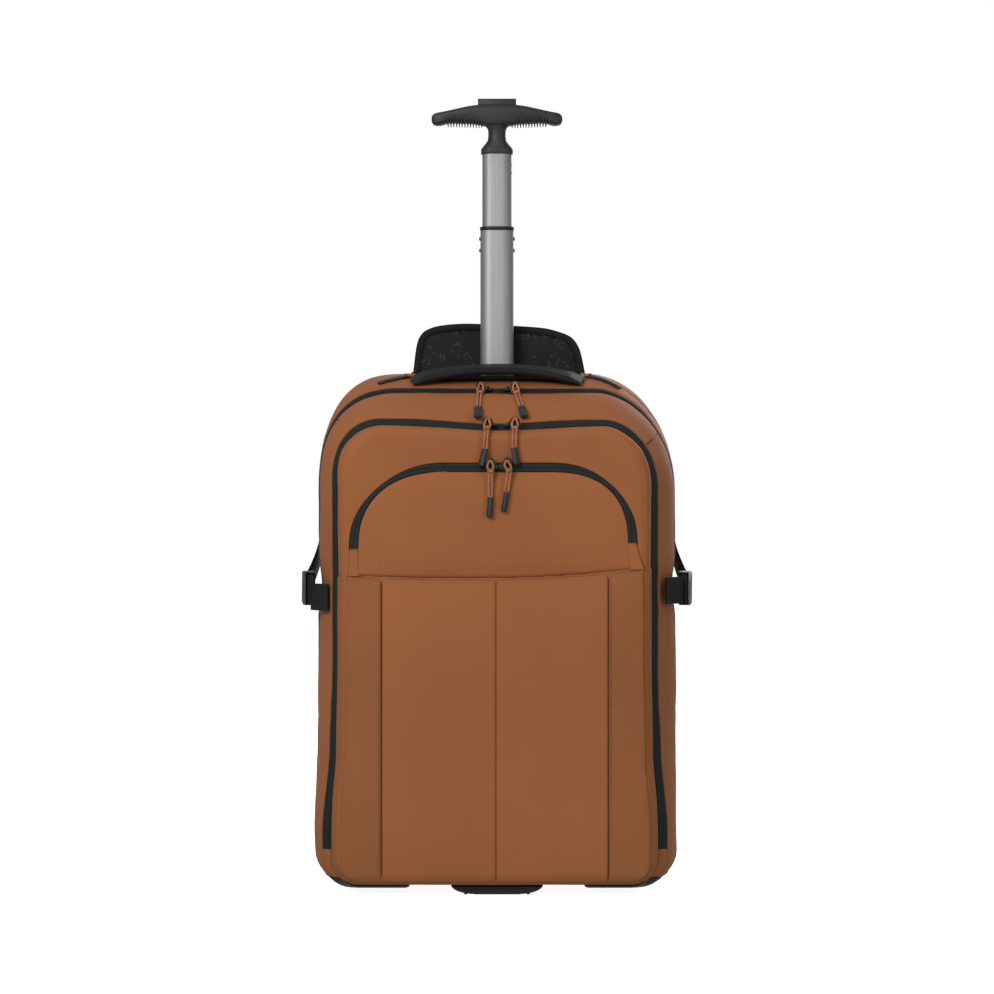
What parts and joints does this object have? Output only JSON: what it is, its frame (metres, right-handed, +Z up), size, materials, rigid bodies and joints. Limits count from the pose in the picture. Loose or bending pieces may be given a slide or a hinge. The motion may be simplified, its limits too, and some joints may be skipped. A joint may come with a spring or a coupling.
{
  "type": "wheeled backpack",
  "caption": "Wheeled backpack with front compartments on zips, an extended trolley with a T grip behind an open channel flap, side straps with buckles, and wheels at the lower back.",
  "frame": {"origin": "middle of the bounding box at floor level", "axes": "+Z up, the front faces -Y, +X to the viewer's right"},
  "size_m": [0.384, 0.2319, 0.7754],
  "materials": {
    "orange_fabric": "matt coated woven fabric",
    "black_fabric": "matt woven fabric and spacer mesh",
    "webbing": "ribbed webbing",
    "zip_tape": "coated zip tape, low sheen",
    "pull_cord": "braided cord",
    "moulded_rubber": "matt moulded rubber",
    "wheel_rubber": "matt tread",
    "black_plastic": "fine grained moulding",
    "grip_plastic": "satin moulding",
    "brushed_aluminium": "brushed satin anodised",
    "dark_metal": "black lacquered"
  },
  "bodies": {
    "bag": {"back_panel": "black_fabric", "buckle_plug_left": "black_plastic", "buckle_plug_right": "black_plastic", "buckle_socket_left": "black_plastic", "buckle_socket_right": "black_plastic", "centre_foot": "moulded_rubber", "channel_flap": "black_fabric", "corner_guard_left": "black_plastic", "corner_guard_right": "black_plastic", "flap_zip_left": "zip_tape", "flap_zip_right": "zip_tape", "front_shell": "orange_fabric", "lower_front_panel": "orange_fabric", "main_shell": "orange_fabric", "pull_front_left_cord": "pull_cord", "pull_front_left_end": "moulded_rubber", "pull_front_right_cord": "pull_cord", "pull_front_right_end": "moulded_rubber", "pull_main_left_cord": "pull_cord", "pull_main_left_end": "moulded_rubber", "pull_main_right_cord": "pull_cord", "pull_main_right_end": "moulded_rubber", "pull_pocket_left_cord": "pull_cord", "pull_pocket_left_end": "moulded_rubber", "pull_pocket_right_cord": "pull_cord", "pull_pocket_right_end": "moulded_rubber", "rear_section": "orange_fabric", "shoulder_strap_left": "black_fabric", "shoulder_strap_right": "black_fabric", "side_strap_left": "webbing", "side_strap_rear_left": "webbing", "side_strap_rear_right": "webbing", "side_strap_right": "webbing", "strap_adjuster_left": "black_plastic", "strap_adjuster_right": "black_plastic", "strap_webbing_left": "webbing", "strap_webbing_right": "webbing", "top_handle": "webbing", "trolley_sleeve": "black_plastic", "upper_pocket_panel": "orange_fabric", "wheel_housing_left": "black_plastic", "wheel_housing_right": "black_plastic", "zip_front": "zip_tape", "zip_front_slider_left": "dark_metal", "zip_front_slider_right": "dark_metal", "zip_main": "zip_tape", "zip_main_slider_left": "dark_metal", "zip_main_slider_right": "dark_metal", "zip_pocket": "zip_tape", "zip_pocket_slider_left": "dark_metal", "zip_pocket_slider_right": "dark_metal"},
    "lower_stage": {"trolley_lower_stage": "brushed_aluminium", "trolley_collar": "black_plastic"},
    "upper_stage": {"trolley_upper_stage": "brushed_aluminium", "trolley_grip": "grip_plastic"},
    "button": {"trolley_button": "grip_plastic"},
    "wheel_left_body": {"wheel_left": "wheel_rubber"},
    "wheel_right_body": {"wheel_right": "wheel_rubber"}
  },
  "joints": [
    {"name": "lower_stage_slide", "type": "slide", "parent": "bag", "child": "lower_stage", "axis": [0, 0, 1], "range_m": [-0.22, 0.08]},
    {"name": "upper_stage_slide", "type": "slide", "parent": "lower_stage", "child": "upper_stage", "axis": [0, 0, 1], "range_m": [-0.07, 0.15]},
    {"name": "button_press", "type": "slide", "parent": "upper_stage", "child": "button", "axis": [0, 0, -1], "range_m": [0, 0.0035], "stiffness_N_per_m": 600, "springref_m": -0.002},
    {"name": "wheel_left_spin", "type": "hinge", "parent": "bag", "child": "wheel_left_body", "pos_m": [-0.129, 0.085, 0.031], "axis": [1, 0, 0], "continuous": true},
    {"name": "wheel_right_spin", "type": "hinge", "parent": "bag", "child": "wheel_right_body", "pos_m": [0.129, 0.085, 0.031], "axis": [1, 0, 0], "continuous": true}
  ]
}
